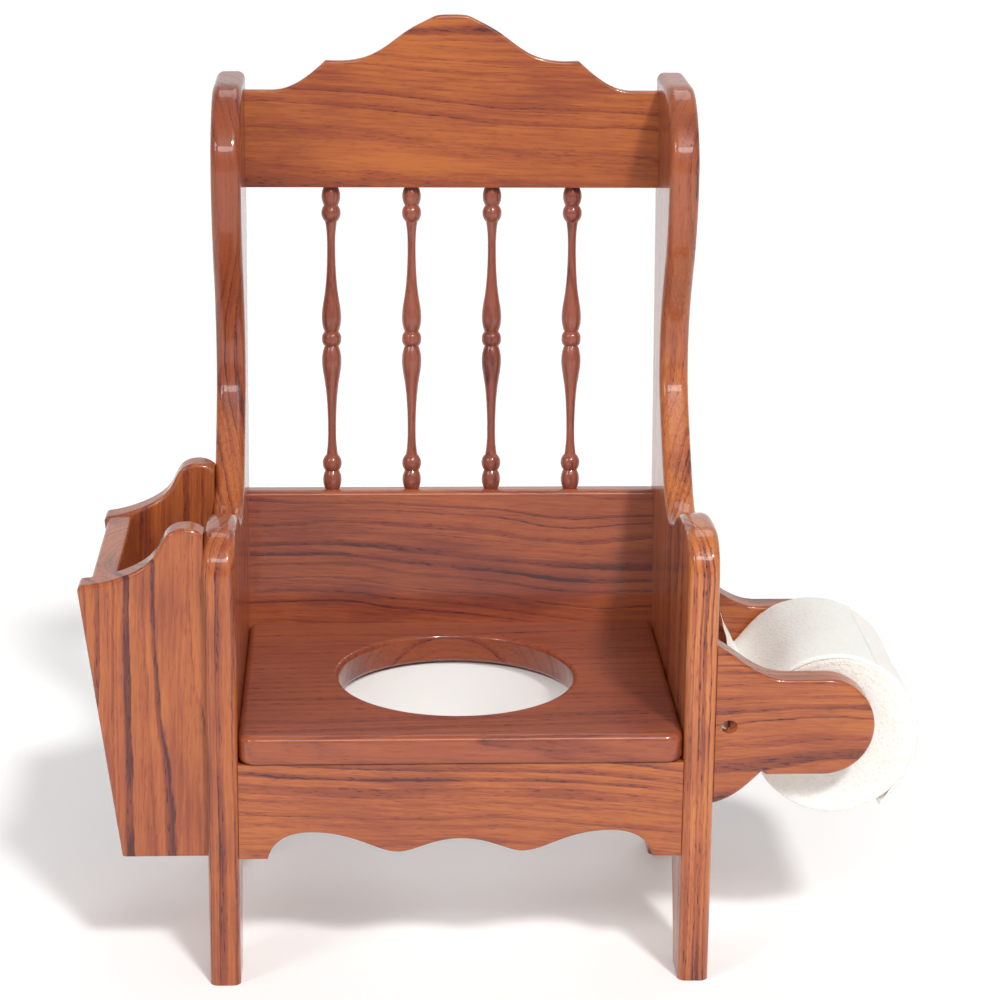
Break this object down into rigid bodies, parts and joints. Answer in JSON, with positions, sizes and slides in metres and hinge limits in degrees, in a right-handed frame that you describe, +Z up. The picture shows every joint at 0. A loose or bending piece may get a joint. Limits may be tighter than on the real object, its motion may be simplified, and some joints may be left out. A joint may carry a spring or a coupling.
{
  "type": "potty training chair",
  "caption": "Child's wooden potty training chair with a pan under the seat hole, a spindle back, a side magazine rack and a side holder for a paper roll.",
  "frame": {"origin": "on the floor, under the middle of the whole piece's bounding box (the rack and the paper roll included)", "axes": "+Z up; -Y towards the front, the way the sitter faces; +X towards the paper holder"},
  "size_m": [0.5153, 0.2787, 0.5674],
  "materials": {
    "oak": "oak stained reddish brown under glossy lacquer",
    "turned_oak": "turned oak stained darker, glossy lacquer",
    "screw_steel": "zinc plated",
    "spring_steel": "bright drawn wire",
    "roller_plastic": "moulded, gloss",
    "tissue": "soft embossed tissue",
    "cardboard": "plain grey-brown board",
    "pan_plastic": "white, gloss"
  },
  "bodies": {
    "chair": {"left_side_panel": "oak", "right_side_panel": "oak", "seat_board": "oak", "front_apron": "oak", "lower_back_panel": "oak", "crest_rail": "oak", "rack_front_board": "oak", "rack_rear_board": "oak", "rack_outer_board": "oak", "rack_bottom_board": "oak", "holder_front_arm": "oak", "holder_rear_arm": "oak", "pan_runner_left": "oak", "pan_runner_right": "oak", "frame_plugs": "oak", "rack_plugs": "oak", "apron_dowels": "oak", "spindle_1": "turned_oak", "spindle_2": "turned_oak", "spindle_3": "turned_oak", "spindle_4": "turned_oak", "frame_screws": "screw_steel", "rack_screws": "screw_steel", "runner_screws": "screw_steel", "holder_screws": "screw_steel"},
    "pan": {"potty_pan": "pan_plastic"},
    "roller": {"roller_tube": "roller_plastic", "roller_spring": "spring_steel"},
    "plunger": {"roller_plunger": "roller_plastic"},
    "roll": {"paper_roll": "tissue", "roll_core": "cardboard", "paper_tail": "tissue"}
  },
  "joints": [
    {"name": "pan_slide", "type": "slide", "parent": "chair", "child": "pan", "axis": [0, 1, 0], "range_m": [0, 0.19]},
    {"name": "roller_spin", "type": "hinge", "parent": "chair", "child": "roller", "pos_m": [0.2056, -0.05674, 0.165], "axis": [0, 1, 0], "continuous": true},
    {"name": "plunger_push", "type": "slide", "parent": "roller", "child": "plunger", "axis": [0, -1, 0], "range_m": [0, 0.008], "stiffness_N_per_m": 300, "springref_m": -0.01, "deforming": ["roller_spring"]},
    {"name": "roll_spin", "type": "hinge", "parent": "chair", "child": "roll", "pos_m": [0.2056, -0.05674, 0.1538], "axis": [0, 1, 0], "continuous": true}
  ]
}
